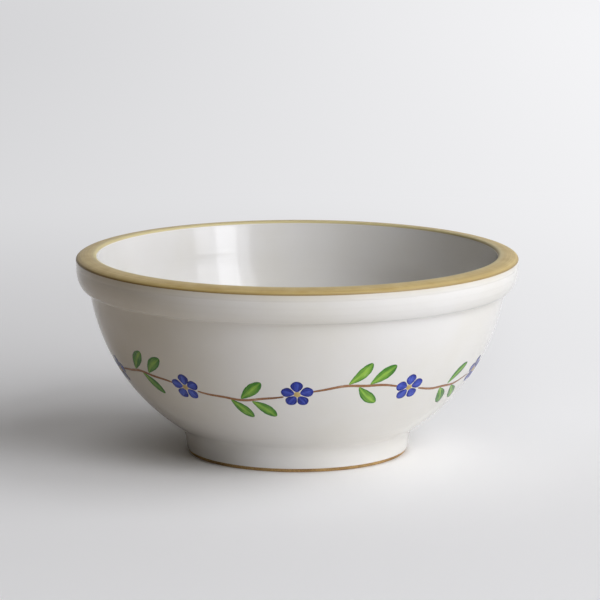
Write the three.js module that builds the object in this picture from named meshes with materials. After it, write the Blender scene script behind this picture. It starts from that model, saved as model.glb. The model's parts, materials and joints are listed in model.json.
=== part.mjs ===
// A cereal bowl in glazed stoneware, built up as a potter builds it: a dished floor, a wall, a rolled collar
// round the mouth, a foot ring, three coats of glaze, an ochre band over the rim and a painted vine.
// Millimetres, +Z up. The origin is the centre of the foot, on the surface that the bowl stands on.
import * as THREE from "three";

// Driving dimensions of the finished, glazed bowl
const RIM_DIAMETER = 152; // at the collar, the widest place
const BOWL_HEIGHT = 69;
const WALL_THICKNESS = 4;
const WALL_BULGE = 6.7; // how far the wall's curve stands out from a straight line
const RIM_ROUND = 1.8; // height over which the rim's top curves down to the collar
const LIP_ROUND = 1.1; // size of the rim's rounding inside
const COLLAR_STEP = 4.6; // how far the collar stands out from the wall
const COLLAR_FACE = 2.5; // upright stretch of the collar
const COLLAR_ROLL = 7.7; // height over which the collar rolls back to the wall
const COLLAR_FILLET = 0.9;
const FLOOR_THICKNESS = 6.5;
const FLOOR_CURVE = 15; // height over which the inside turns from wall to floor
const FOOT_DIAMETER = 76; // at the bottom
const FOOT_HEIGHT = 8;
const FOOT_FLARE = 1.3; // how much wider the foot's radius is at its top
const FOOT_WIDTH = 6.5; // of the ring, at the bottom
const FOOT_FILLET = 3;
const FOOT_EDGE = 0.5; // rounding of the ring's two bottom edges
const BARE_CLAY = 0.8; // unglazed side of the foot above that rounding
const RECESS_DEPTH = 6; // of the hollow inside the foot ring
const RECESS_DRAFT = 1; // how much narrower the hollow's radius is at its top
const GLAZE = 0.5; // thickness of each coat

// Driving dimensions of the painted vine
const VINE_HEIGHT = 32; // height of the vine's middle line above the table
const VINE_REPEATS = 10;
const STEM_BOW = 3; // how far each stem bows up or down between two flowers
const STEM_WIDTH = 1.3;
const LEAF_LENGTH = 10;
const LEAF_WIDTH = 4.8;
const LEAF_ANGLE = 45; // degrees between a leaf and its stem
const FLOWER_DIAMETER = 11;
const PETALS = 5;
const PETAL_NOTCH = 0.45; // depth of the notch between two petals, as a share of the flower's radius
const PETAL_FLAT = 0.8; // share of the flower's radius that has the full thickness
const PAINT = 0.25; // thickness of the colour at its thickest
const PAINT_CLEARANCE = 0.2; // between the colour and the glaze under it
const STROKE_CLEARANCE = 0.4; // between two strokes

// How finely the round shapes are divided
const TURN_STEPS = 44;
const EDGE_STEPS = 2;
const STROKE_SIDES = 8;
const LEAF_STEPS = 5;
const STEM_STEPS = 8;
const PETAL_STEPS = 6;

const FULL_TURN = 2 * Math.PI;
const HALF_TURN = Math.PI;
const QUARTER_TURN = Math.PI / 2;

// Materials, with the colours of the fired bowl
const finish = (color, roughness) => new THREE.MeshStandardMaterial({ color, roughness, metalness: 0 });
const stoneware = () => finish("#cdb88d", 0.8);
const whiteGlaze = () => finish("#ebe8e2", 0.15);
const ochreGlaze = () => finish("#b99c60", 0.4);
const brownPaint = () => finish("#8f6b4c", 0.35);
const greenPaint = () => finish("#5c9140", 0.3);
const bluePaint = () => finish("#2f3f8c", 0.25);

// The corners and arc that the wall's outside follows, from under the collar down to the foot
const rimRadius = RIM_DIAMETER / 2;
const footRadius = FOOT_DIAMETER / 2;
const rimEdge = new THREE.Vector2(rimRadius, BOWL_HEIGHT - RIM_ROUND);
const collarBottom = rimEdge.y - COLLAR_FACE - COLLAR_ROLL;
const collarCorner = new THREE.Vector2(rimRadius - COLLAR_STEP, collarBottom);
const footCorner = new THREE.Vector2(footRadius + FOOT_FLARE, FOOT_HEIGHT);
const wall = arcThrough(collarCorner, footCorner, WALL_BULGE);

// The arc from start to end that stands out by a bulge from the straight line between them
function arcThrough(start, end, bulge) {
  const chord = end.clone().sub(start);
  const halfChord = chord.length() / 2;
  const radius = (halfChord * halfChord + bulge * bulge) / (2 * bulge);
  const outwards = new THREE.Vector2(-chord.y, chord.x).normalize();
  const middle = start.clone().add(end).multiplyScalar(0.5);
  const centre = middle.addScaledVector(outwards, bulge - radius);
  const angleOf = (point) => Math.atan2(point.y - centre.y, point.x - centre.x);
  return { centre, radius, startAngle: angleOf(start), endAngle: angleOf(end) };
}

// Walks along the curves of each section and keeps each point with the direction that faces out of the clay.
// A section starts at the last station of the section before it, so that neighbours share it exactly.
function walk(sections) {
  const stations = {};
  let shared = [];
  for (const [name, pieces] of Object.entries(sections)) {
    const section = [...shared];
    for (const [curve, steps] of pieces) {
      for (let step = section.length === 0 ? 0 : 1; step <= steps; step++) {
        const tangent = curve.getTangent(step / steps);
        const outwards = new THREE.Vector2(-tangent.y, tangent.x);
        section.push({ point: curve.getPoint(step / steps), outwards });
      }
    }
    stations[name] = section;
    shared = section.slice(-1);
  }
  return stations;
}

const glazeSide = (stations) => stations.map(({ point }) => point);
const claySide = (stations) =>
  stations.map(({ point, outwards }) => point.clone().addScaledVector(outwards, -GLAZE));
const line = (start, end) => new THREE.LineCurve(start, end);
const corner = (start, control, end) => new THREE.QuadraticBezierCurve(start, control, end);
const oval = (x, y, width, height, from, to) =>
  new THREE.EllipseCurve(x, y, width, height, from, to, from > to);

// The inside: a flat floor, the curve that turns up from it, and the wall up to the lip
const floorHeight = RECESS_DEPTH + FLOOR_THICKNESS;
const insideRadius = wall.radius - WALL_THICKNESS;
const insideAngle = (height) => Math.asin((height - wall.centre.y) / insideRadius);
const insidePoint = (angle) =>
  new THREE.Vector2(Math.cos(angle), Math.sin(angle)).multiplyScalar(insideRadius).add(wall.centre);
const turnAngle = insideAngle(floorHeight + FLOOR_CURVE);
const turnPoint = insidePoint(turnAngle);
const turnControl = new THREE.Vector2(turnPoint.x + FLOOR_CURVE * Math.tan(turnAngle), floorHeight);
const floorEdge = new THREE.Vector2(turnControl.x - turnControl.distanceTo(turnPoint), floorHeight);
const throatAngle = insideAngle(collarBottom);
const wallMiddle = (turnAngle + throatAngle) / 2;
const throat = insidePoint(throatAngle);
const lipAt = (height) =>
  new THREE.Vector2(throat.x - (height - throat.y) * Math.tan(throatAngle), height);

// The rim: a rounding inside, and from its crest a longer curve down to the collar. The wall's clay and the
// collar's meet part of the way down that curve.
const lipCorner = lipAt(BOWL_HEIGHT);
const lipFoot = lipAt(BOWL_HEIGHT - LIP_ROUND);
const lipTop = new THREE.Vector2(lipCorner.x + LIP_ROUND, BOWL_HEIGHT);
const rimPiece = (from, to) => oval(lipTop.x, rimEdge.y, rimRadius - lipTop.x, RIM_ROUND, from, to);
const seamAngle = HALF_TURN / 3;

// The outside: the collar with its fillet, the wall, and the foot with its fillet
const wallStartAngle = wall.startAngle - COLLAR_FILLET / wall.radius;
const wallEndAngle = wall.endAngle + FOOT_FILLET / wall.radius;
const wallPiece = (from, to) => oval(wall.centre.x, wall.centre.y, wall.radius, wall.radius, from, to);
const upperWall = wallPiece(wallStartAngle, wallMiddle);
const lowerWall = wallPiece(wallMiddle, turnAngle);
const dishWall = wallPiece(turnAngle, wallEndAngle);
const insidePiece = (from, to) => oval(wall.centre.x, wall.centre.y, insideRadius, insideRadius, from, to);
const rollRadius = collarCorner.x + COLLAR_FILLET;
const rollTop = collarBottom + COLLAR_ROLL;
const footSlope = FOOT_FLARE / FOOT_HEIGHT;
const footSide = (height) => new THREE.Vector2(footRadius + height * footSlope, height);
const footSideStart = footSide(FOOT_HEIGHT - FOOT_FILLET);
const glazeLine = FOOT_EDGE + BARE_CLAY;

// The whole glazed surface, from the middle of the floor, over the rim, to the glaze line on the foot.
// Each curve comes with the number of steps that it is divided into.
const surface = walk({
  floor: [
    [line(new THREE.Vector2(0, floorHeight), floorEdge), 1],
    [corner(floorEdge, turnControl, turnPoint), 4],
  ],
  lowerInside: [[insidePiece(turnAngle, wallMiddle), 3]],
  upperInside: [
    [insidePiece(wallMiddle, throatAngle), 3],
    [line(throat, lipFoot), 1],
  ],
  bandInside: [
    [corner(lipFoot, lipCorner, lipTop), 2],
    [rimPiece(QUARTER_TURN, seamAngle), 1],
  ],
  bandOutside: [[rimPiece(seamAngle, 0), 3]],
  collar: [
    [line(rimEdge, new THREE.Vector2(rimRadius, rollTop)), 1],
    [oval(rollRadius, rollTop, rimRadius - rollRadius, COLLAR_ROLL, 0, -QUARTER_TURN), 4],
    [corner(new THREE.Vector2(rollRadius, collarBottom), collarCorner, upperWall.getPoint(0)), 2],
  ],
  upperWall: [[upperWall, 3]],
  lowerWall: [[lowerWall, 3]],
  dish: [[dishWall, 3]],
  foot: [
    [corner(dishWall.getPoint(1), footCorner, footSideStart), 2],
    [line(footSideStart, footSide(glazeLine)), 1],
  ],
});

// The hollow under the base, from the glaze line inside the foot ring up to the middle of the base
const recessRadius = footRadius - FOOT_WIDTH;
const recessSlope = RECESS_DRAFT / RECESS_DEPTH;
const recessSide = (height) => recessRadius - height * recessSlope;
const recessGlaze = [
  new THREE.Vector2(recessSide(glazeLine), glazeLine),
  new THREE.Vector2(recessSide(RECESS_DEPTH), RECESS_DEPTH),
  new THREE.Vector2(0, RECESS_DEPTH),
];
const baseHeight = RECESS_DEPTH + GLAZE;
const recessClay = [
  new THREE.Vector2(recessSide(glazeLine) + GLAZE, glazeLine),
  new THREE.Vector2(recessSide(baseHeight) + GLAZE, baseHeight),
  new THREE.Vector2(0, baseHeight),
];

// A solid of revolution about Z, from a profile walked with the clay on its right
function turned(profile) {
  const bottomUp = [...profile].reverse();
  return new THREE.LatheGeometry(bottomUp, TURN_STEPS).rotateX(QUARTER_TURN);
}

// The profile of a coat of glaze: out along its face and back along the clay
function coat(face, back, closed) {
  const profile = [...face, ...[...back].reverse()];
  return closed ? [...profile, face[0]] : profile;
}

// Each list of stations starts where the one before it ended, so the repeated first point is dropped
const joined = (...lists) => lists.flatMap((list, index) => (index === 0 ? list : list.slice(1)));

function clayFloor() {
  const base = recessClay.slice(1);
  return turned([...claySide(surface.floor), ...claySide(surface.dish), ...base]);
}

function clayLowerWall() {
  const inside = claySide(surface.lowerInside);
  return turned([...inside, ...claySide(surface.lowerWall), inside[0]]);
}

function clayUpperWall() {
  const inside = joined(claySide(surface.upperInside), claySide(surface.bandInside));
  return turned([...inside, ...claySide(surface.upperWall), inside[0]]);
}

function rimCollar() {
  const outside = joined(claySide(surface.bandOutside), claySide(surface.collar));
  return turned([...outside, outside[0]]);
}

function footRing() {
  const outside = claySide(surface.foot);
  const outerSide = outside.at(-1).x;
  const innerSide = recessClay[0].x;
  const outerEdge = oval(outerSide - FOOT_EDGE, FOOT_EDGE, FOOT_EDGE, FOOT_EDGE, 0, -QUARTER_TURN);
  const innerEdge = oval(innerSide + FOOT_EDGE, FOOT_EDGE, FOOT_EDGE, FOOT_EDGE, -QUARTER_TURN, -HALF_TURN);
  const bottom = [...outerEdge.getPoints(EDGE_STEPS), ...innerEdge.getPoints(EDGE_STEPS)];
  return turned([...outside, ...bottom, ...recessClay.slice(0, 2), outside[0]]);
}

function innerGlaze() {
  const sections = [surface.floor, surface.lowerInside, surface.upperInside];
  const face = joined(...sections.map(glazeSide));
  const back = joined(...sections.map(claySide));
  return turned(coat(face, back, false));
}

function rimBand() {
  const face = joined(glazeSide(surface.bandInside), glazeSide(surface.bandOutside));
  const back = joined(claySide(surface.bandInside), claySide(surface.bandOutside));
  return turned(coat(face, back, true));
}

function outerGlaze() {
  const sections = [surface.collar, surface.upperWall, surface.lowerWall, surface.dish, surface.foot];
  const face = joined(...sections.map(glazeSide));
  const back = joined(...sections.map(claySide));
  return turned(coat(face, back, true));
}

function baseGlaze() {
  const back = [...recessClay].reverse();
  return turned([...back, ...recessGlaze]);
}

// A point of the painted vine: along the vine, up the wall from its middle line, and out from the glaze
const vineAngle = Math.asin((VINE_HEIGHT - wall.centre.y) / wall.radius);
const vineRadius = wall.centre.x + wall.radius * Math.cos(vineAngle);
const repeatLength = (FULL_TURN * vineRadius) / VINE_REPEATS;

function onWall(along, up, out) {
  const turn = along / vineRadius;
  const angle = vineAngle + up / wall.radius;
  const reach = wall.radius + PAINT_CLEARANCE + out;
  const radius = wall.centre.x + reach * Math.cos(angle);
  return [radius * Math.sin(turn), -radius * Math.cos(turn), wall.centre.y + reach * Math.sin(angle)];
}

// A brush stroke along a path on the wall: a spindle, pointed at both ends and flat where it meets the glaze
function brushStroke(path, width, steps) {
  const profile = [];
  for (let step = 0; step <= steps; step++) {
    const taper = Math.sin((HALF_TURN * step) / steps);
    profile.push(new THREE.Vector2(taper, step / steps));
  }
  const geometry = new THREE.LatheGeometry(profile, STROKE_SIDES);
  const position = geometry.getAttribute("position");
  for (let i = 0; i < position.count; i++) {
    const share = THREE.MathUtils.clamp(position.getY(i), 0, 1);
    const sideways = (position.getX(i) * width) / 2;
    const out = PAINT * Math.max(0, position.getZ(i));
    const point = path.getPoint(share);
    const tangent = path.getTangent(share);
    const along = point.x + sideways * tangent.y;
    const up = point.y - sideways * tangent.x;
    position.setXYZ(i, ...onWall(along, up, out));
  }
  return geometry;
}

// The stem between two flowers bows up and down in turn
const stemEnds = FLOWER_DIAMETER / 2 + STROKE_CLEARANCE;
const stemLength = repeatLength - 2 * stemEnds;

class BowedStem extends THREE.Curve {
  constructor(start, bow) {
    super();
    this.start = start;
    this.bow = bow;
  }
  getPoint(share) {
    const along = stemEnds + share * stemLength;
    const up = this.bow * Math.sin((HALF_TURN * along) / repeatLength);
    return new THREE.Vector2(this.start + along, up);
  }
}

// Two leaves side by side grow from the outside of each bow, and one from the inside
const leafTurn = THREE.MathUtils.degToRad(LEAF_ANGLE);
const leafSpacing = (LEAF_WIDTH + STROKE_CLEARANCE) / Math.sin(leafTurn);
const leafPlaces = [
  { fromMiddle: -leafSpacing / 2, side: 1 },
  { fromMiddle: leafSpacing / 2, side: 1 },
  { fromMiddle: 0, side: -1 },
];

function leafPath(stem, place, bowSide) {
  const share = 0.5 + place.fromMiddle / stemLength;
  const heading = stem.getTangent(share).rotateAround(new THREE.Vector2(), leafTurn * place.side * bowSide);
  const gap = (STEM_WIDTH / 2 + STROKE_CLEARANCE) / Math.sin(leafTurn);
  const start = stem.getPoint(share).addScaledVector(heading, gap);
  return line(start, start.clone().addScaledVector(heading, LEAF_LENGTH));
}

// A flower of rounded petals, as one thin dome whose edge is notched between the petals
function flower(centre) {
  const dome = [
    new THREE.Vector2(0, 1),
    new THREE.Vector2(PETAL_FLAT, 1),
    new THREE.Vector2(1, 0),
    new THREE.Vector2(0, 0),
  ]; // share of the petal's reach, share of the paint's thickness
  const geometry = new THREE.LatheGeometry(dome, PETALS * PETAL_STEPS);
  const position = geometry.getAttribute("position");
  for (let i = 0; i < position.count; i++) {
    const sideways = position.getX(i);
    const upwards = position.getZ(i);
    const angle = Math.atan2(sideways, upwards);
    const roundness = Math.sqrt(Math.abs(Math.cos((PETALS * angle) / 2)));
    const reach = (FLOWER_DIAMETER / 2) * (1 - PETAL_NOTCH * (1 - roundness));
    const out = PAINT * position.getY(i);
    position.setXYZ(i, ...onWall(centre + sideways * reach, upwards * reach, out));
  }
  return geometry;
}

const bowl = new THREE.Group();

function add(name, geometry, material) {
  const mesh = new THREE.Mesh(geometry, material);
  mesh.name = name;
  bowl.add(mesh);
}

add("clay_floor", clayFloor(), stoneware());
add("clay_lower_wall", clayLowerWall(), stoneware());
add("clay_upper_wall", clayUpperWall(), stoneware());
add("rim_collar", rimCollar(), stoneware());
add("foot_ring", footRing(), stoneware());
add("inner_glaze", innerGlaze(), whiteGlaze());
add("outer_glaze", outerGlaze(), whiteGlaze());
add("base_glaze", baseGlaze(), whiteGlaze());
add("rim_band", rimBand(), ochreGlaze());

const numbered = (name, number) => `${name}_${String(number).padStart(2, "0")}`;
for (let repeat = 0; repeat < VINE_REPEATS; repeat++) {
  const start = repeat * repeatLength;
  const bowSide = repeat % 2 === 0 ? 1 : -1;
  const stem = new BowedStem(start, bowSide * STEM_BOW);
  add(numbered("flower", repeat + 1), flower(start), bluePaint());
  add(numbered("stem", repeat + 1), brushStroke(stem, STEM_WIDTH, STEM_STEPS), brownPaint());
  leafPlaces.forEach((place, index) => {
    const number = repeat * leafPlaces.length + index + 1;
    const path = leafPath(stem, place, bowSide);
    add(numbered("leaf", number), brushStroke(path, LEAF_WIDTH, LEAF_STEPS), greenPaint());
  });
}

export default bowl;
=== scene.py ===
# %% [markdown]
# # A glazed stoneware cereal bowl
# This lesson dresses a small thrown bowl: white glaze inside and out, an ochre band over a thick rolled
# rim, a line of bare clay under the foot, and a vine painted round the wall with a brush. The packed
# model is the frame. It says where every piece is, so each piece is made in its place, in metres.

# %% Load the frame
import json
import math
import random

import bmesh
import bpy
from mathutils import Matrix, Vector


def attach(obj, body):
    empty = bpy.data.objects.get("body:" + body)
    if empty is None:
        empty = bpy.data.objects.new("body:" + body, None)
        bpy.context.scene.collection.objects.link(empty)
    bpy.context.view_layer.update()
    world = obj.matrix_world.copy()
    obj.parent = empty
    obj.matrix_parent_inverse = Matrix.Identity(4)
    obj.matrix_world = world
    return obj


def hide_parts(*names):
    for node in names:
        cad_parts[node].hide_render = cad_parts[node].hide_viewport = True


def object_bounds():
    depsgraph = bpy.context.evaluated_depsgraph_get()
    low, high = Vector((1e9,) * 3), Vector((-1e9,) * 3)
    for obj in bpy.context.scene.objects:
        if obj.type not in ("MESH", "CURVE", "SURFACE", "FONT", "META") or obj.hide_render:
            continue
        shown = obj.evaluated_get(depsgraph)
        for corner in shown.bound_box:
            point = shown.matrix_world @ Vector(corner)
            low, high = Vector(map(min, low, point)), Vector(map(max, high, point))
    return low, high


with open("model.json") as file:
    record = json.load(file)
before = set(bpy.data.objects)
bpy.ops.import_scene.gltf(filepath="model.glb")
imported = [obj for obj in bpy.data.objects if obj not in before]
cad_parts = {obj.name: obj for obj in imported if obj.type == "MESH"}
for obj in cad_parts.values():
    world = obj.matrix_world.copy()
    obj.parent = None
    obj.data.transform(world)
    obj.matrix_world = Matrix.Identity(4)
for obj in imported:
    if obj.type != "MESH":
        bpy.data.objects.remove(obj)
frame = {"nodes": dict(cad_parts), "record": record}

cad_low, cad_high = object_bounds()
print("nodes:", len(frame["nodes"]), "size in metres:", [round(side, 4) for side in cad_high - cad_low])

# %% [markdown]
# ## Sizes
# A potter keeps a bowl's sizes as a few numbers on a card: the mouth, the height, the foot and the
# thickness of the wall. The frame gives the mouth and the height. The rest of the card is in
# millimetres here, and the wall's curve follows from it: one arc that stands out from the straight line
# between collar and foot.

# %% The potter's card
MM = 0.001
RIM_RADIUS = cad_high.x
BOWL_HEIGHT = cad_high.z
WALL_THICKNESS = 4 * MM
WALL_BULGE = 6.7 * MM
RIM_ROUND = 1.8 * MM
LIP_ROUND = 1.1 * MM
COLLAR_STEP = 4.6 * MM
COLLAR_FACE = 2.5 * MM
COLLAR_ROLL = 7.7 * MM
COLLAR_FILLET = 0.9 * MM
FLOOR_THICKNESS = 6.5 * MM
FLOOR_CURVE = 15 * MM
FOOT_RADIUS = 38 * MM
FOOT_HEIGHT = 8 * MM
FOOT_FLARE = 1.3 * MM
FOOT_WIDTH = 6.5 * MM
FOOT_FILLET = 3 * MM
FOOT_EDGE = 0.5 * MM
BARE_CLAY = 0.8 * MM
RECESS_DEPTH = 6 * MM
RECESS_DRAFT = 1 * MM
RECESS_ROUND = 1.2 * MM
GLAZE = 0.5 * MM

# %% The collar and the wall's arc
rim_edge = Vector((RIM_RADIUS, BOWL_HEIGHT - RIM_ROUND))
collar_bottom = rim_edge.y - COLLAR_FACE - COLLAR_ROLL
collar_corner = Vector((RIM_RADIUS - COLLAR_STEP, collar_bottom))
foot_corner = Vector((FOOT_RADIUS + FOOT_FLARE, FOOT_HEIGHT))
chord = foot_corner - collar_corner
wall_radius = ((chord.length / 2) ** 2 + WALL_BULGE ** 2) / (2 * WALL_BULGE)
outwards = Vector((-chord.y, chord.x)).normalized()
wall_centre = (collar_corner + foot_corner) / 2 + outwards * (WALL_BULGE - wall_radius)
print("wall arc: radius", round(wall_radius / MM, 2), "mm about", [round(v / MM, 2) for v in wall_centre])

# %% [markdown]
# ## The profile
# Cut through a bowl and its edge is a line of arcs, ovals and short straights. Blender could bevel the
# corners of a rough outline, but the arcs are known, so each one is stepped along by its own formula.
# Every stretch starts where the last one ended, and the coats of glaze, the band and the foot then
# share their edges exactly.

# %% Curves of the profile
HALF_TURN = math.pi
QUARTER_TURN = math.pi / 2


def straight(start, end, steps):
    return [start.lerp(end, step / steps) for step in range(steps + 1)]


def oval(centre, size, start, end, steps):
    angles = [start + (end - start) * step / steps for step in range(steps + 1)]
    return [centre + Vector((size.x * math.cos(a), size.y * math.sin(a))) for a in angles]


def rounded_corner(start, corner, end, steps):
    first, second = straight(start, corner, steps), straight(corner, end, steps)
    return [a.lerp(b, step / steps) for step, (a, b) in enumerate(zip(first, second))]


def joined(*stretches):
    points = list(stretches[0])
    for stretch in stretches[1:]:
        points.extend(stretch[1:])
    return points


# %% The inside, from the middle of the floor up to the band
floor_height = RECESS_DEPTH + FLOOR_THICKNESS
inside_radius = wall_radius - WALL_THICKNESS


def inside_angle(height):
    return math.asin((height - wall_centre.y) / inside_radius)


def at_angle(radius, angle):
    return wall_centre + radius * Vector((math.cos(angle), math.sin(angle)))


turn_angle = inside_angle(floor_height + FLOOR_CURVE)
turn_point = at_angle(inside_radius, turn_angle)
turn_corner = Vector((turn_point.x + FLOOR_CURVE * math.tan(turn_angle), floor_height))
floor_edge = Vector((turn_corner.x - (turn_point - turn_corner).length, floor_height))
throat_angle = inside_angle(collar_bottom)
throat = at_angle(inside_radius, throat_angle)


def lip_at(height):
    return Vector((throat.x - (height - throat.y) * math.tan(throat_angle), height))


lip_corner = lip_at(BOWL_HEIGHT)
lip_foot = lip_at(BOWL_HEIGHT - LIP_ROUND)

inside_profile = joined(
    straight(Vector((0, floor_height)), floor_edge, 12),
    rounded_corner(floor_edge, turn_corner, turn_point, 16),
    oval(wall_centre, Vector((inside_radius, inside_radius)), turn_angle, throat_angle, 24),
    straight(throat, lip_foot, 8),
)
print("inside profile:", len(inside_profile), "points")

# %% The band over the rim
lip_top = Vector((lip_corner.x + LIP_ROUND, BOWL_HEIGHT))
rim_centre = Vector((lip_top.x, rim_edge.y))
rim_size = Vector((RIM_RADIUS - lip_top.x, RIM_ROUND))
band_profile = joined(
    rounded_corner(lip_foot, lip_corner, lip_top, 8),
    oval(rim_centre, rim_size, QUARTER_TURN, 0, 20),
)
print("band:", len(band_profile), "points")

# %% Corners of the outside
FOOT_STEPS = 8
roll_radius = collar_corner.x + COLLAR_FILLET
roll_top = Vector((roll_radius, collar_bottom + COLLAR_ROLL))
roll_bottom = Vector((roll_radius, collar_bottom))
roll_size = Vector((RIM_RADIUS - roll_radius, COLLAR_ROLL))
start_offset = collar_corner - wall_centre
end_offset = foot_corner - wall_centre
wall_start = math.atan2(start_offset.y, start_offset.x) - COLLAR_FILLET / wall_radius
wall_end = math.atan2(end_offset.y, end_offset.x) + FOOT_FILLET / wall_radius
glaze_line = FOOT_EDGE + BARE_CLAY


def foot_side(height):
    return Vector((FOOT_RADIUS + height * FOOT_FLARE / FOOT_HEIGHT, height))


foot_start = foot_side(FOOT_HEIGHT - FOOT_FILLET)
print("the foot's fillet ends", round(foot_start.y / MM, 2), "mm above the table")

# %% [markdown]
# ## Lines on the collar
# A finger held against the turning collar leaves lines in it. Each is a drop below the rim and a depth.
# It steps in quickly at its upper edge and fades out slowly below, which is how a soft fingertip
# presses.

# %% The outside, with its wheel lines
WHEEL_LINES = [(4.0 * MM, 0.09 * MM), (6.6 * MM, 0.04 * MM), (9.0 * MM, 0.04 * MM)]
LINE_EDGE = 0.3 * MM
LINE_FADE = 1.6 * MM


def line_depth(below):
    """How deep a line is, as a share: a quick step in, and a slow way out again below it."""
    return math.exp(-(below / LINE_EDGE) ** 2) if below < 0 else math.exp(-below / LINE_FADE)


def with_wheel_lines(points):
    """Presses in the lines that a finger left on the turning collar, each at a drop below the rim."""
    pressed = []
    for point in points:
        drop = BOWL_HEIGHT - point.y
        depth = sum(deepest * line_depth(drop - line) for line, deepest in WHEEL_LINES)
        pressed.append(point - Vector((depth, 0)))
    return pressed


outside_profile = with_wheel_lines(joined(
    straight(rim_edge, Vector((RIM_RADIUS, roll_top.y)), 20),
    oval(roll_top, roll_size, 0, -QUARTER_TURN, 50),
    rounded_corner(roll_bottom, collar_corner, at_angle(wall_radius, wall_start), 6),
    oval(wall_centre, Vector((wall_radius, wall_radius)), wall_start, wall_end, 40),
    rounded_corner(at_angle(wall_radius, wall_end), foot_corner, foot_start, FOOT_STEPS),
    straight(foot_start, foot_side(glaze_line), FOOT_STEPS),
))
print("outside profile:", len(outside_profile), "points")

# %% [markdown]
# ## Turning a profile
# A wheel turns clay about one axis, and Blender's spin operator does the same to a line of vertices. A
# coat of glaze has a face and a back, so its outline runs out along the face and home along the clay,
# half a millimetre below. Merging doubles closes the seam and the poles, and the normals are set right
# once the shell is closed.

# %% Turn a profile about the bowl's axis
TURN_STEPS = 192
MERGE_DISTANCE = 0.002 * MM
SHARP_ANGLE = math.radians(40)


def finish_piece(name, mesh_data, nodes):
    mesh = bpy.data.meshes.new(name)
    mesh_data.to_mesh(mesh)
    mesh_data.free()
    mesh.shade_smooth()
    mesh.set_sharp_from_angle(angle=SHARP_ANGLE)
    piece = bpy.data.objects.new(name, mesh)
    bpy.context.scene.collection.objects.link(piece)
    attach(piece, "root")
    if nodes:
        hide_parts(*nodes)
    return piece


def turned(profile, closed):
    shell = bmesh.new()
    line = [shell.verts.new((point.x, 0, point.y)) for point in profile]
    edges = [shell.edges.new(pair) for pair in zip(line, line[1:])]
    if closed:
        edges.append(shell.edges.new((line[-1], line[0])))
    bmesh.ops.spin(
        shell, geom=line + edges, cent=(0, 0, 0), axis=(0, 0, 1),
        angle=2 * math.pi, steps=TURN_STEPS, use_merge=True,
    )
    bmesh.ops.remove_doubles(shell, verts=shell.verts, dist=MERGE_DISTANCE)
    bmesh.ops.recalc_face_normals(shell, faces=shell.faces)
    return shell


# %% A coat of glaze on the clay


def clay_side(face):
    back = []
    for index, point in enumerate(face):
        before, after = face[max(index - 1, 0)], face[min(index + 1, len(face) - 1)]
        along = (after - before).normalized()
        back.append(point - GLAZE * Vector((-along.y, along.x)))
    return back


def coat(name, face, node):
    on_axis = face[0].x == 0
    shell = turned(face + clay_side(face)[::-1], closed=not on_axis)
    piece = finish_piece(name, shell, [node])
    print(name, len(piece.data.polygons), "faces")
    return piece


# %% [markdown]
# ## Coats of glaze and the ochre band
# A bowl is dipped in white glaze, and the rim is wiped and banded with ochre on the wheel. Ochre and
# white meet on each side of the crown. Each coat is its own shell here, as it is its own layer on the
# clay.

# %% The two white coats and the band
inner_coat = coat("inner_glaze_coat", inside_profile, "inner_glaze")
outer_coat = coat("outer_glaze_coat", outside_profile, "outer_glaze")
rim_band = coat("ochre_rim_band", band_profile, "rim_band")

# %% [markdown]
# ## The foot
# The ring that a bowl stands on is wiped clean before firing, or the glaze would weld it to the kiln
# shelf. What is left is a thin line of bare clay at the bottom, softly rounded by the sponge. Inside
# the ring the base is glazed too, and its corner is a small fillet where the glaze pooled.

# %% The glaze inside the foot
RECESS_STEPS = 4
recess_radius = FOOT_RADIUS - FOOT_WIDTH


def recess_side(height):
    return Vector((recess_radius - height * RECESS_DRAFT / RECESS_DEPTH, height))


recess_corner = recess_side(RECESS_DEPTH)
round_start = recess_side(RECESS_DEPTH - RECESS_ROUND)
round_end = recess_corner - Vector((RECESS_ROUND, 0))
recess_profile = joined(
    straight(recess_side(glaze_line), round_start, RECESS_STEPS),
    rounded_corner(round_start, recess_corner, round_end, 6),
    straight(round_end, Vector((0, RECESS_DEPTH)), 12),
)
base_shell = turned(recess_profile + clay_side(recess_profile)[::-1], closed=False)
base_coat = finish_piece("base_glaze_coat", base_shell, ["base_glaze"])
print(base_coat.name, len(base_coat.data.polygons), "faces")

# %% The bare foot ring
foot_outside = clay_side(outside_profile)[-(2 * FOOT_STEPS + 1):]
foot_inside = clay_side(recess_profile)[:RECESS_STEPS + 1]
edge_size = Vector((FOOT_EDGE, FOOT_EDGE))
outer_edge_centre = Vector((foot_outside[-1].x - FOOT_EDGE, FOOT_EDGE))
inner_edge_centre = Vector((foot_inside[0].x + FOOT_EDGE, FOOT_EDGE))
foot_profile = (
    foot_outside
    + oval(outer_edge_centre, edge_size, 0, -QUARTER_TURN, 6)
    + oval(inner_edge_centre, edge_size, -QUARTER_TURN, -HALF_TURN, 6)
    + foot_inside
)
foot_ring = finish_piece("bare_foot_ring", turned(foot_profile, True), ["foot_ring"])
print("foot ring stands at", round(min(v.co.z for v in foot_ring.data.vertices) / MM, 3), "mm")

# %% [markdown]
# ## The painted vine
# The decoration is brushwork: lance leaves of one stroke each, flowers of five dabs, and a thin brown
# stem that bows up and down between them. A stroke is a small grid, wide as the brush where it presses
# and drawn to a point where it lifts. The grid keeps its own map of along and across, so that the
# colour can pool at the edges.

# %% Places on the wall
VINE_HEIGHT = 32 * MM
VINE_REPEATS = 10
STEM_BOW = 3 * MM
STEM_WIDTH = 1.3 * MM
LEAF_LENGTH = 10 * MM
LEAF_WIDTH = 4.8 * MM
LEAF_ANGLE = math.radians(45)
FLOWER_RADIUS = 5.5 * MM
PETALS = 5
STROKE_CLEARANCE = 0.4 * MM
STEM_PAINT = 0.05 * MM
LEAF_PAINT = 0.07 * MM
PETAL_PAINT = 0.1 * MM
PAINT_SINK = 0.03 * MM

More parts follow.
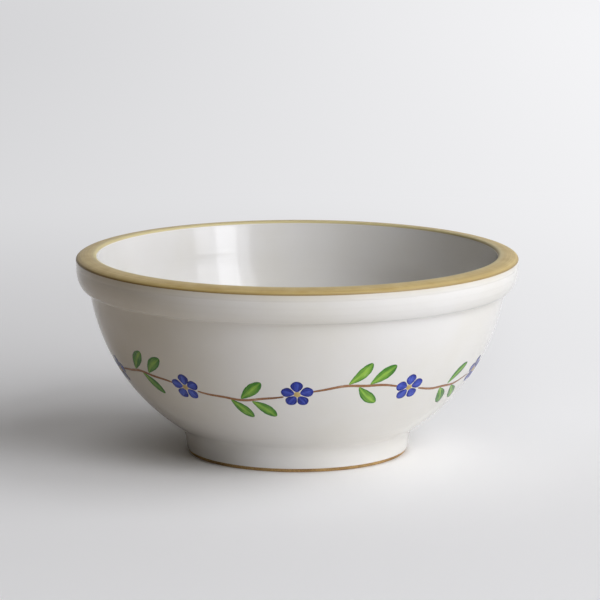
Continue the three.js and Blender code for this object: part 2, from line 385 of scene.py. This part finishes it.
vine_angle = math.asin((VINE_HEIGHT - wall_centre.y) / wall_radius)
vine_radius = wall_centre.x + wall_radius * math.cos(vine_angle)
repeat_length = 2 * math.pi * vine_radius / VINE_REPEATS


def on_wall(along, up, out):
    turn = along / vine_radius
    angle = vine_angle + up / wall_radius
    reach = wall_radius + out
    radius = wall_centre.x + reach * math.cos(angle)
    height = wall_centre.y + reach * math.sin(angle)
    return Vector((radius * math.sin(turn), -radius * math.cos(turn), height))


print("one repeat of the vine is", round(repeat_length / MM, 2), "mm long")

# %% One stroke of the brush
STROKE_ROWS = 28
STROKE_COLUMNS = 10


def brush_stroke(target, path, width, thickness, fullness, bluntness):
    """Adds a stroke along path(share), which gives a point and a heading on the wall.
    More fullness moves the widest place towards the end, and less bluntness draws out the points."""
    made = bmesh.ops.create_grid(
        target, x_segments=STROKE_ROWS, y_segments=STROKE_COLUMNS, size=0.5, calc_uvs=True,
    )
    for vert in made["verts"]:
        share = vert.co.x + 0.5
        across = 2 * vert.co.y
        point, heading = path(share)
        half = width / 2 * max(0, math.sin(math.pi * share ** fullness)) ** (1 - bluntness)
        sideways = Vector((-heading.y, heading.x)) * across * half
        swell = thickness * (1 - across ** 4) * min(1, 8 * half / width)
        vert.co = on_wall(point.x + sideways.x, point.y + sideways.y, swell - PAINT_SINK)


def painted_piece(name, strokes, node):
    bmesh.ops.remove_doubles(strokes, verts=strokes.verts, dist=MERGE_DISTANCE)
    bmesh.ops.recalc_face_normals(strokes, faces=strokes.faces)
    middle = sum((face.calc_center_median() for face in strokes.faces), Vector()) / len(strokes.faces)
    outward_faces = sum(face.normal.xy.dot(middle.xy) > 0 for face in strokes.faces)
    if outward_faces * 2 < len(strokes.faces):
        bmesh.ops.reverse_faces(strokes, faces=strokes.faces)
    bmesh.ops.solidify(strokes, geom=strokes.faces, thickness=PAINT_SINK)
    return finish_piece(name, strokes, [node])


def new_strokes():
    strokes = bmesh.new()
    strokes.loops.layers.uv.new("brush")
    return strokes


# %% [markdown]
# ## Stems
# The stem is a liner brush drawn from one flower to the next. Its bow is half a wave, up in one gap and
# down in the next, which makes the vine run. A small shake keeps it from looking ruled.

# %% The path of a stem
hand = random.Random(7)
STEM_TUCK = 1.7 * MM
stem_ends = FLOWER_RADIUS - STEM_TUCK
stem_length = repeat_length - 2 * stem_ends
STEM_SHAKE = 0.3 * MM
STEM_BLUNTNESS = 0.8


def stem_path(start, bow, shake):
    def place(share):
        along = stem_ends + share * stem_length
        wave = math.pi * along / repeat_length
        tremble = STEM_SHAKE * math.sin(shake + 5 * wave) * math.sin(math.pi * share)
        point = Vector((start + along, bow * math.sin(wave) + tremble))
        heading = Vector((1, bow * math.pi / repeat_length * math.cos(wave))).normalized()
        return point, heading
    return place


# %% Draw the stems
stem_paths = []
stem_pieces = []
for repeat in range(VINE_REPEATS):
    bow_side = 1 if repeat % 2 == 0 else -1
    path = stem_path(repeat * repeat_length, bow_side * STEM_BOW, hand.uniform(0, 6))
    stem_paths.append((path, bow_side))
    strokes = new_strokes()
    brush_stroke(strokes, path, STEM_WIDTH, STEM_PAINT, 1, STEM_BLUNTNESS)
    number = f"{repeat + 1:02d}"
    stem_pieces.append(painted_piece("stem_stroke_" + number, strokes, "stem_" + number))
print(len(stem_pieces), "stems")

# %% [markdown]
# ## Leaves
# A leaf is one press of a round brush: it starts narrow at the stem, swells past the middle and ends in
# a blunt tip. Two grow on the outside of each bow and one on the inside. Each leans a little
# differently, as hand work does.

# %% The path of a leaf
LEAF_FULLNESS = 1.3
LEAF_BLUNTNESS = 0.38
LEAF_BEND = 0.7 * MM
LEAF_SPACING = (LEAF_WIDTH + STROKE_CLEARANCE) / math.sin(LEAF_ANGLE)
LEAF_PLACES = [(-LEAF_SPACING / 2, 1), (LEAF_SPACING / 2, 1), (0, -1)]


def turned_by(direction, angle):
    cosine, sine = math.cos(angle), math.sin(angle)
    along = direction.x * cosine - direction.y * sine
    up = direction.x * sine + direction.y * cosine
    return Vector((along, up))


def leaf_path(stem, from_middle, side, bend):
    root, along_stem = stem(0.5 + from_middle / stem_length)
    heading = turned_by(along_stem, LEAF_ANGLE * side)
    across = Vector((-heading.y, heading.x))
    gap = (STEM_WIDTH / 2 + STROKE_CLEARANCE) / math.sin(LEAF_ANGLE)
    length = LEAF_LENGTH + gap - STEM_WIDTH / 2
    start = root + heading * STEM_WIDTH / 2

    def place(share):
        sway = bend * math.sin(math.pi * share)
        lean = bend * math.pi / length * math.cos(math.pi * share)
        return start + heading * length * share + across * sway, (heading + across * lean).normalized()
    return place


# %% Press the leaves
leaf_pieces = []
for stem, bow_side in stem_paths:
    for from_middle, side in LEAF_PLACES:
        bend = hand.uniform(-1, 1) * LEAF_BEND
        strokes = new_strokes()
        path = leaf_path(stem, from_middle, side * bow_side, bend)
        width = LEAF_WIDTH * hand.uniform(0.9, 1.04)
        brush_stroke(strokes, path, width, LEAF_PAINT, LEAF_FULLNESS, LEAF_BLUNTNESS)
        number = f"{len(leaf_pieces) + 1:02d}"
        leaf_pieces.append(painted_piece("leaf_stroke_" + number, strokes, "leaf_" + number))
print(len(leaf_pieces), "leaves")

# %% [markdown]
# ## Flowers
# Five dabs of cobalt make a flower, and a dot of ochre goes in the middle once they are dry. The dabs
# leave slits of white between them. The dot is a flattened ball, so that it lies on the petals like a
# drop.

# %% The path of a petal
PETAL_START = 0.9 * MM
PETAL_WIDTH = 4.4 * MM
PETAL_FULLNESS = 1.25
PETAL_BLUNTNESS = 0.4
EYE_RADIUS = 1.15 * MM
EYE_LIFT = 0.03 * MM
EYE_HEIGHT = 0.16 * MM


def petal_path(centre, angle):
    heading = Vector((math.sin(angle), math.cos(angle)))

    def place(share):
        reach = PETAL_START + (FLOWER_RADIUS - PETAL_START) * share
        return Vector((centre, 0)) + heading * reach, heading
    return place


# %% Dab the flowers
petal_pieces = []
eye_pieces = []
for repeat in range(VINE_REPEATS):
    centre = repeat * repeat_length
    number = f"{repeat + 1:02d}"
    strokes = new_strokes()
    for petal in range(PETALS):
        lean = hand.uniform(-0.06, 0.06)
        path = petal_path(centre, 2 * math.pi * petal / PETALS + lean)
        width = PETAL_WIDTH * hand.uniform(0.94, 1.04)
        brush_stroke(strokes, path, width, PETAL_PAINT, PETAL_FULLNESS, PETAL_BLUNTNESS)
    petal_pieces.append(painted_piece("petal_dabs_" + number, strokes, "flower_" + number))
    eye = bmesh.new()
    bmesh.ops.create_uvsphere(eye, u_segments=20, v_segments=10, radius=1)
    for vert in eye.verts:
        sideways, upwards, out = vert.co * EYE_RADIUS
        vert.co = on_wall(centre + sideways, upwards, EYE_LIFT + vert.co.z * EYE_HEIGHT)
    eye_pieces.append(finish_piece("flower_eye_" + number, eye, []))
print(len(petal_pieces), "flowers with", PETALS, "petals each")

# %% [markdown]
# ## Writing finishes
# A finish is a small graph of nodes. Writing `1 - mask` is easier to read than adding a Math node by
# hand, so one class wraps a node's output and gives it the usual operators. Every other node comes from
# one method, which sets the node up first and then fills its inputs with numbers, colours or links. The
# light of the room is such a graph too, so what both need is in a class of its own.

# %% A value in a graph


class Tone:
    """A number, colour or vector that changes over a surface: the output of a node."""

    def __init__(self, graph, socket):
        self.graph = graph
        self.socket = socket

    def math(self, operation, first, second):
        return self.graph.node("ShaderNodeMath", {"operation": operation}, {0: first, 1: second})

    def __add__(self, other):
        return self.math("ADD", self, other)

    __radd__ = __add__

    def __sub__(self, other):
        return self.math("SUBTRACT", self, other)

    def __rsub__(self, other):
        return self.math("SUBTRACT", other, self)

    def __mul__(self, other):
        return self.math("MULTIPLY", self, other)

    __rmul__ = __mul__

    def __abs__(self):
        return self.math("ABSOLUTE", self, 0)


# %% A graph of nodes
SEEN_RAYS = ("Camera", "Glossy", "Transmission")


class Graph:
    """A tree of shader nodes that is built up node by node."""

    def __init__(self, tree):
        self.tree = tree

    def fill(self, socket, value):
        if isinstance(value, Tone):
            self.tree.links.new(value.socket, socket)
        else:
            socket.default_value = value

    def node(self, kind, settings, inputs, output=0):
        made = self.tree.nodes.new(kind)
        for setting, value in settings.items():
            setattr(made, setting, value)
        for key, value in inputs.items():
            self.fill(made.inputs[key], value)
        return Tone(self, made.outputs[output])

    def vector(self, operation, inputs, output=0):
        return self.node("ShaderNodeVectorMath", {"operation": operation}, inputs, output)

    def axis(self, vector, name):
        return self.node("ShaderNodeSeparateXYZ", {}, {0: vector}, name)

    def blend(self, factor, first, second):
        """Mixes two colours: the first where the factor is 0, the second where it is 1."""
        first, second = [v if isinstance(v, Tone) else (*v, 1) for v in (first, second)]
        return self.node("ShaderNodeMix", {"data_type": "RGBA"}, {0: factor, 6: first, 7: second}, 2)

    def between(self, value, low, high):
        """Rises smoothly from 0 at low to 1 at high."""
        inputs = {"Value": value, "From Min": low, "From Max": high}
        return self.node("ShaderNodeMapRange", {"interpolation_type": "SMOOTHSTEP"}, inputs)

    def seen(self):
        """1 for what the camera sees, straight, mirrored or through glass, and 0 for bounced light."""
        rays = [self.node("ShaderNodeLightPath", {}, {}, f"Is {kind} Ray") for kind in SEEN_RAYS]
        return self.between(rays[0] + rays[1] + rays[2], 0, 1)


# %% A finish


class Finish(Graph):
    """One material with a Principled shader."""

    def __init__(self, name):
        self.material = bpy.data.materials.new(name)
        self.material.use_nodes = True
        super().__init__(self.material.node_tree)
        self.shader = self.tree.nodes["Principled BSDF"]

    def shade(self, **inputs):
        for name, value in inputs.items():
            self.fill(self.shader.inputs[name.replace("_", " ")], value)

    def surface(self, shader):
        self.fill(self.tree.nodes["Material Output"].inputs["Surface"], shader)

    def place(self):
        return self.node("ShaderNodeTexCoord", {}, {}, "Object")

    def noise(self, vector, scale, detail=2, roughness=0.5):
        inputs = {"Vector": vector, "Scale": scale, "Detail": detail, "Roughness": roughness}
        return self.node("ShaderNodeTexNoise", {}, inputs, "Fac")

    def bump(self, height, distance, strength):
        inputs = {"Height": height, "Distance": distance, "Strength": strength}
        return self.node("ShaderNodeBump", {}, inputs)


def dress(pieces, finish):
    for piece in pieces:
        piece.data.materials.clear()
        piece.data.materials.append(finish.material)


def linear(red, green, blue):
    """A colour as it looks on screen, 0 to 255, as the linear light that shaders work in."""
    shares = [value / 255 for value in (red, green, blue)]
    return tuple(s / 12.92 if s <= 0.04045 else ((s + 0.055) / 1.055) ** 2.4 for s in shares)


# %% [markdown]
# ## Marks of the wheel
# Turning leaves marks that run round the bowl: faint ridges in the clay, and the drag of a brush held
# against the spinning rim. Plain noise has no direction. Here it is read on the unit circle round the
# axis, slowly, and on radius and height, quickly, so that it draws into long streaks round the bowl and
# has no seam.

# %% Streaks that run round the axis


def flat_place(finish):
    return finish.vector("MULTIPLY", {0: finish.place(), 1: (1, 1, 0)})


def radius_of(finish):
    return finish.vector("LENGTH", {0: flat_place(finish)}, "Value")


def height_of(finish):
    return finish.axis(finish.place(), "Z")


def wheel_marks(finish, along, across, detail=2):
    """Noise drawn out round the axis: along is how often it changes in a turn, across in a metre."""
    circle = finish.vector("NORMALIZE", {0: flat_place(finish)})
    around = finish.vector("SCALE", {0: circle, "Scale": along})
    lift = finish.node("ShaderNodeCombineXYZ", {}, {"Z": height_of(finish) * across})
    streak = finish.vector("ADD", {0: around, 1: lift})
    inputs = {"Vector": streak, "W": radius_of(finish) * across, "Scale": 1, "Detail": detail}
    return finish.node("ShaderNodeTexNoise", {"noise_dimensions": "4D"}, inputs, "Fac")


# %% [markdown]
# ## White glaze
# The glaze is a warm white glass over buff clay. It is smooth but not flat: light slides over faint
# wheel ridges and a fine orange peel. Its white is a shade warmer in soft clouds, and on the outside it
# takes a stain from the ochre just under the rim. A clear coat on the shader would double the gloss, so
# one low roughness does it all.

# %% The white glaze
GLAZE_WHITE = linear(223, 221, 217)
GLAZE_WARM = linear(219, 216, 208)
OCHRE_BLEED = linear(200, 184, 142)
BLEED_BELOW = 0.4 * MM
BLEED_ABOVE = 0.3 * MM
STAIN_BELOW = 2.8 * MM
EDGE_SHAKE = 0.6 * MM
RIDGE_DEPTH = 0.12 * MM


def white_glaze(name, bleed_share):
    """The glaze, with as much ochre run into its edge under the rim."""
    finish = Finish(name)
    place = finish.place()
    clouds = finish.noise(place, 28, 3)
    ridges = wheel_marks(finish, 0.7, 420)
    peel = finish.noise(place, 900, 2)
    ragged = height_of(finish) + EDGE_SHAKE * (wheel_marks(finish, 6, 300) - 0.5)
    warm = finish.blend(finish.between(clouds, 0.35, 0.75), GLAZE_WHITE, GLAZE_WARM)
    bleed = 0.4 * finish.between(ragged, rim_edge.y - BLEED_BELOW, rim_edge.y + BLEED_ABOVE)
    stain = 0.25 * finish.between(ragged, rim_edge.y - STAIN_BELOW, rim_edge.y)
    finish.shade(
        Base_Color=finish.blend(bleed_share * (bleed + stain), warm, OCHRE_BLEED),
        Roughness=0.06 + 0.08 * clouds,
        IOR=1.5,
        Normal=finish.bump(0.75 * ridges + 0.12 * peel, RIDGE_DEPTH, 0.5),
    )
    return finish


dress([inner_coat, base_coat], white_glaze("white_glaze_finish", 0))
dress([outer_coat], white_glaze("banded_glaze_finish", 1))
print("white glaze on", inner_coat.name, outer_coat.name, base_coat.name)

# %% [markdown]
# ## Ochre band
# The band is iron ochre brushed on while the wheel turns. It is satin, not glossy, it shows the drag of
# the hairs, and the colour is strongest where it gathered at the outer edge. That dark outer edge is
# also painted shade on the rounding, where the rim turns down. Inside it thins, and low on the lip the
# white glaze comes through.

# %% The ochre band
OCHRE_PALE = linear(206, 194, 146)
OCHRE_THIN = linear(204, 182, 124)
OCHRE_FULL = linear(174, 146, 82)
OCHRE_POOLED_AND_SHADED = linear(112, 86, 42)
POOL_START = 0.9 * MM
POOL_END = 1.8 * MM
POOL_SHAKE = 0.6 * MM
PALE_WIDTH = 3 * MM
LIP_BARE_START = 0.6 * MM
LIP_BARE_END = 1.0 * MM
DRAG_DEPTH = 0.1 * MM

ochre_finish = Finish("ochre_band_finish")
drag = wheel_marks(ochre_finish, 2.2, 2600, 3)
mottle = ochre_finish.noise(ochre_finish.place(), 160, 3)
drop = BOWL_HEIGHT - height_of(ochre_finish)
# Darker towards the outer edge: ochre that pooled there, and painted shade where the rim turns down
pooled = ochre_finish.between(drop + POOL_SHAKE * (mottle - 0.5), POOL_START, POOL_END)
thin = ochre_finish.between(0.6 * drag + 0.4 * mottle, 0.3, 0.7)
body = ochre_finish.blend(thin, OCHRE_FULL, OCHRE_THIN)
from_axis = radius_of(ochre_finish)
inner_edge = 1 - ochre_finish.between(from_axis, lip_corner.x, lip_corner.x + PALE_WIDTH)
body = ochre_finish.blend(inner_edge * 0.75, body, OCHRE_PALE)
band_colour = ochre_finish.blend(pooled * 0.75, body, OCHRE_POOLED_AND_SHADED)
on_lip = 1 - ochre_finish.between(from_axis, lip_top.x, lip_top.x + LIP_ROUND)
wiped = on_lip * ochre_finish.between(drop, LIP_BARE_START, LIP_BARE_END)
ochre_finish.shade(
    Base_Color=ochre_finish.blend(wiped, band_colour, GLAZE_WHITE),
    Roughness=0.35 + 0.2 * drag,
    Specular_IOR_Level=0.35,
    Normal=ochre_finish.bump(drag + 0.4 * mottle, DRAG_DEPTH, 0.45),
)
dress([rim_band], ochre_finish)
print("ochre on", rim_band.name)

# %% The ochre drops in the flowers
eye_finish = Finish("flower_eye_finish")
eye_mottle = eye_finish.noise(eye_finish.place(), 900, 2)
eye_finish.shade(
    Base_Color=eye_finish.blend(eye_mottle, OCHRE_FULL, OCHRE_THIN),
    Roughness=0.3,
    Specular_IOR_Level=0.35,
)
dress(eye_pieces, eye_finish)
print("ochre on", len(eye_pieces), "flower eyes")

# %% [markdown]
# ## Bare clay
# Under the glaze the stoneware is buff and a little sandy. It shows only at the foot, but the hidden
# wall, floor and collar have it too, for anyone who takes the bowl apart.

# %% The bare clay
CLAY_PALE = linear(188, 154, 98)
CLAY_DARK = linear(138, 104, 56)
GRAIN_DEPTH = 0.12 * MM

clay_finish = Finish("bare_clay_finish")
grain = clay_finish.noise(clay_finish.place(), 2400, 4, 0.7)
patches = clay_finish.noise(clay_finish.place(), 130, 3)
sandy = clay_finish.between(0.6 * grain + 0.4 * patches, 0.35, 0.65)
clay_finish.shade(
    Base_Color=clay_finish.blend(sandy, CLAY_DARK, CLAY_PALE),
    Roughness=0.72 + 0.2 * grain,
    Normal=clay_finish.bump(grain, GRAIN_DEPTH, 0.6),
)
subparts = frame["record"]["subparts"]
clay_names = [part["node"] for part in subparts if part["material_slot"] == "stoneware"]
hidden_clay = [frame["nodes"][name] for name in clay_names if name != "foot_ring"]
dress([foot_ring, *hidden_clay], clay_finish)
print("bare clay on", [piece.name for piece in hidden_clay], "and", foot_ring.name)

# %% [markdown]
# ## Brushed colour
# Painted colour under glaze is never even. It is thin where the brush ran dry, streaked by the hairs,
# and dark along the edge where the wet stroke dried last. The stroke's own map gives the distance from
# its middle line, noise drawn out along the stroke gives the hairs, and two blends turn the amount of
# pigment into its colour.

# %% Pigment in a stroke
HAIR_DEPTH = 0.04 * MM


def pigment(name, thin, full, pooled, centre_light, glaze_share):
    """A glossy painted finish: centre_light lightens the middle line, glaze_share lets white through."""
    finish = Finish(name)
    brush = finish.node("ShaderNodeUVMap", {"uv_map": "brush"}, {})
    along = finish.axis(brush, "X")
    from_middle = abs(finish.axis(brush, "Y") * 2 - 1)
    place = finish.place()
    patches = finish.noise(place, 330, 2)
    own_tone = finish.noise(place, 55, 1)
    hair_place = finish.node("ShaderNodeMapping", {}, {"Vector": brush, "Scale": (1.5, 9, 1)})
    shifted = finish.vector("MULTIPLY_ADD", {0: place, 1: (90, 90, 90), 2: hair_place})
    hairs = finish.noise(shifted, 1, 2)
    edge = finish.between(from_middle, 0.55, 0.98)
    vein = 1 - finish.between(from_middle, 0.05, 0.4)
    tip = finish.between(along, 0.7, 1)
    amount = 0.45 + 0.38 * edge - centre_light * vein + 0.18 * tip
    amount = amount + 0.7 * (hairs - 0.5) + 0.4 * (patches - 0.5) + 0.9 * (own_tone - 0.5)
    colour = finish.blend(2 * amount, thin, full)
    colour = finish.blend(2 * amount - 1, colour, pooled)
    bare = finish.between(0.5 * hairs + 0.5 * patches, 0.3, 0.42)
    finish.shade(
        Base_Color=finish.blend((1 - bare) * glaze_share, colour, GLAZE_WHITE),
        Roughness=0.16 + 0.1 * patches,
        Specular_IOR_Level=0.35,
        Normal=finish.bump(hairs + 0.5 * patches, HAIR_DEPTH, 0.4),
    )
    return finish


# %% [markdown]
# ## Leaf green, cobalt and stem brown
# The three colours share the recipe. Leaf green goes from a yellow wash to a deep edge, with a light
# middle where the brush was loaded with yellow. Cobalt is dense and only lightens a little. Stem brown
# is thin and lets the glaze show.

# %% The three colours
leaf_finish = pigment(
    "leaf_green_finish", linear(148, 190, 70), linear(62, 126, 32), linear(14, 56, 10), 0.3, 0.1,
)
cobalt_finish = pigment(
    "cobalt_finish", linear(80, 104, 210), linear(26, 42, 142), linear(2, 4, 44), 0.15, 0.04,
)
stem_finish = pigment(
    "stem_brown_finish", linear(186, 142, 102), linear(138, 92, 58), linear(76, 44, 24), 0.0, 0.35,
)
dress(leaf_pieces, leaf_finish)
dress(petal_pieces, cobalt_finish)
dress(stem_pieces, stem_finish)
print("painted", len(leaf_pieces) + len(petal_pieces) + len(stem_pieces), "pieces")

# %% [markdown]
# ## The floor
# The bowl stands on a plain pale sweep. One large sheet is enough, because the camera looks down and
# never sees its far edge in the main view. It is an ordinary surface that takes the shadow. Light that
# bounces off it finds it darker on the left. This is painted shade that deepens the shade on the bowl's
# left side, and it is darkest close to the foot, as a painted contact shadow.

# %% The sheet, with painted shade for bounced light
FLOOR_SIZE = 30
FLOOR_COLOUR = linear(249, 248, 246)
FLOOR_SHADE = linear(224, 223, 222)
LEFT_BOUNCE_SHADE = linear(186, 164, 130)
FOOT_BOUNCE_SHADE = linear(44, 28, 16)
FOOT_SHADE_START = 0.045
FOOT_SHADE_END = 0.085
LEFT_SHADE_START = -0.18
LEFT_SHADE_END = 0.04

sheet = bmesh.new()
bmesh.ops.create_grid(sheet, x_segments=1, y_segments=1, size=FLOOR_SIZE / 2)
floor_mesh = bpy.data.meshes.new("floor")
sheet.to_mesh(floor_mesh)
sheet.free()
floor = bpy.data.objects.new("floor", floor_mesh)
bpy.context.scene.collection.objects.link(floor)

floor_finish = Finish("floor_finish")
floor_place = floor_finish.place()
floor_tone = floor_finish.noise(floor_place, 3, 2)
from_bowl = floor_finish.vector("LENGTH", {0: floor_place}, "Value")
sideways = floor_finish.axis(floor_place, "X")
behind = floor_finish.axis(floor_place, "Y")
bounced = floor_finish.node("ShaderNodeLightPath", {}, {}, "Is Diffuse Ray")
# Painted shade: bounced light finds the floor darker on the left, and darkest round the foot
painted_bounce_shade = bounced * (1 - floor_finish.between(sideways, LEFT_SHADE_START, LEFT_SHADE_END))
near_foot = floor_finish.between(from_bowl, FOOT_SHADE_START, FOOT_SHADE_END)
bounce_shade_colour = floor_finish.blend(near_foot, FOOT_BOUNCE_SHADE, LEFT_BOUNCE_SHADE)
sheet_colour = floor_finish.blend(0.2 * floor_tone, FLOOR_COLOUR, FLOOR_SHADE)
floor_finish.shade(Base_Color=floor_finish.blend(painted_bounce_shade, sheet_colour, bounce_shade_colour), Roughness=0.7)
dress([floor], floor_finish)
print("floor", FLOOR_SIZE, "m wide")

# %% [markdown]
# ## The backdrop
# Further off, the sheet turns into an even pale backdrop, for the eye and for reflections but not as a
# lamp. It is brighter on the window's side. Behind the bowl on the right it starts sooner, as a painted
# pool of light where the light is strongest. From just clear of the foot, a fifth of it is mixed into the
# near floor as well, as painted light that lifts the shadow there. Far away it takes the colour of the
# wall, so that a low view shows no hard horizon.

# %% The sheet far from the bowl
FLOOR_LIFT = 0.2
LIFT_START = 0.035
LIFT_END = 0.09
BRIGHT_LIFT = 0.6
BRIGHT_START = 0.02
BRIGHT_END = 0.1
BEHIND_START = -0.06
BEHIND_END = 0.06
BACKDROP_LEFT = linear(207, 207, 209)
BACKDROP_RIGHT = linear(249, 249, 251)
BACKDROP_START = 0.1
BACKDROP_END = 0.6
BACKDROP_SIDES = 0.4
WALL_COLOUR = linear(232, 232, 234)
HORIZON_START = 1.2
HORIZON_END = 3.5

side_share = floor_finish.between(sideways, -BACKDROP_SIDES, BACKDROP_SIDES)
backdrop_colour = floor_finish.blend(side_share, BACKDROP_LEFT, BACKDROP_RIGHT)
horizon = floor_finish.between(from_bowl, HORIZON_START, HORIZON_END)
backdrop_colour = floor_finish.blend(horizon, backdrop_colour, WALL_COLOUR)
backdrop = floor_finish.node("ShaderNodeEmission", {}, {"Color": backdrop_colour, "Strength": 1})
bright_side = floor_finish.between(sideways, BRIGHT_START, BRIGHT_END)
bright_side = bright_side * floor_finish.between(behind, BEHIND_START, BEHIND_END)
clear_of_foot = floor_finish.between(from_bowl, LIFT_START, LIFT_END)
# Painted light: backdrop glow over the near floor lightens the shadow, and more of it behind on the right
# makes a pool of light
lift = (FLOOR_LIFT + BRIGHT_LIFT * bright_side) * clear_of_foot
far = lift + (1 - lift) * floor_finish.between(from_bowl, BACKDROP_START, BACKDROP_END)
plain_floor = Tone(floor_finish, floor_finish.shader.outputs[0])
share = far * floor_finish.seen()
floor_finish.surface(floor_finish.node("ShaderNodeMixShader", {}, {0: share, 1: plain_floor, 2: backdrop}))
print("backdrop from", BACKDROP_START, "to", BACKDROP_END, "m off the bowl")

# %% [markdown]
# ## Windows
# A tall window stands to the right and in front, and leaves the left side of the bowl in shade. Its
# curtains soften it, and the brighter gap between them makes the upright highlight inside the bowl. A
# second window is high on the right. Each is an area lamp that faces the bowl, and daylight makes all
# of them a little cool.

# %% Three lamps
LAMP_COLOUR = (0.97, 0.985, 1.04)
bowl_middle = Vector((0, 0, BOWL_HEIGHT / 2))


def area_lamp(name, turn, rise, distance, width, height, power):
    """A rectangle of light that faces the bowl: turn is degrees from the front towards the right."""
    turn, rise = math.radians(turn), math.radians(rise)
    lamp = bpy.data.lights.new(name, "AREA")
    lamp.shape = "RECTANGLE"
    lamp.size = width
    lamp.size_y = height
    lamp.energy = power
    lamp.color = LAMP_COLOUR
    holder = bpy.data.objects.new(name, lamp)
    bpy.context.scene.collection.objects.link(holder)
    flat = math.cos(rise)
    towards = Vector((math.sin(turn) * flat, -math.cos(turn) * flat, math.sin(rise)))
    holder.location = bowl_middle + towards * distance
    holder.rotation_euler = towards.to_track_quat("Z", "Y").to_euler()
    holder.visible_camera = False
    print(name, "at", [round(v, 2) for v in holder.location])


area_lamp("curtained_window", turn=47, rise=25, distance=1.9, width=1.25, height=2.0, power=23.5)
area_lamp("curtain_gap", turn=44, rise=25, distance=1.88, width=0.45, height=2.0, power=10.5)
area_lamp("second_window", turn=90, rise=50, distance=1.8, width=1.1, height=1.2, power=12.5)

# %% [markdown]
# ## Room
# The rest of the room is a faint warm glow, stronger from the ceiling than from the sides. That is what
# falls on the bowl. What the camera sees past the floor is a pale wall, and the glaze mirrors the dark
# left side of the room too.

# %% Glow and walls
CEILING_GLOW = 0.06
SIDE_GLOW = 0.03
ROOM_COLOUR = Vector((1.0, 0.86, 0.68))
DARK_WALL = linear(96, 86, 74)
DARK_SIDE_START = 0.2
DARK_SIDE_END = 0.7
WALL_TOP = 0.08
WALL_FADE = 0.2

world = bpy.data.worlds.new("room")
bpy.context.scene.world = world
world.use_nodes = True
room = Graph(world.node_tree)
direction = room.node("ShaderNodeTexCoord", {}, {}, "Generated")
upward = room.axis(direction, "Z")
glow_colour = room.blend(upward, SIDE_GLOW * ROOM_COLOUR, CEILING_GLOW * ROOM_COLOUR)
glow = room.node("ShaderNodeBackground", {}, {"Color": glow_colour})
lit_side = room.between(room.axis(direction, "X"), -DARK_SIDE_END, -DARK_SIDE_START)
dark_share = (1 - lit_side) * room.between(upward, WALL_TOP, WALL_FADE)
wall_colour = room.blend(dark_share, WALL_COLOUR, DARK_WALL)
walls = room.node("ShaderNodeBackground", {}, {"Color": wall_colour})
room_light = room.node("ShaderNodeMixShader", {}, {0: room.seen(), 1: glow, 2: walls})
room.fill(world.node_tree.nodes["World Output"].inputs["Surface"], room_light)
bpy.context.scene.view_settings.view_transform = "Standard"
print("room glow from", SIDE_GLOW, "at the sides to", CEILING_GLOW, "overhead")

# %% [markdown]
# ## Camera
# The photograph looks slightly down on the bowl from the front, with a long lens, so the rim is a slim
# oval and the wall shows almost its true profile. The lens is shifted a hair, because the bowl stands
# left of the middle.

# %% Camera
CAMERA_PLACE = (0, -1.1537, 0.2599)
CAMERA_TILT = math.radians(79.793)
CAMERA_LENS = 204
CAMERA_SHIFT = 0.00467

camera_data = bpy.data.cameras.new("camera")
camera_data.lens = CAMERA_LENS
camera_data.sensor_width = 36
camera_data.shift_x = CAMERA_SHIFT
camera = bpy.data.objects.new("camera", camera_data)
bpy.context.scene.collection.objects.link(camera)
camera.location = CAMERA_PLACE
camera.rotation_euler = (CAMERA_TILT, 0, 0)
bpy.context.scene.camera = camera
print("camera", CAMERA_PLACE)

# %% [markdown]
# ## Hand over
# The dressed bowl should be as large as the model it dresses.

# %% Sizes and finish
bpy.context.view_layer.update()
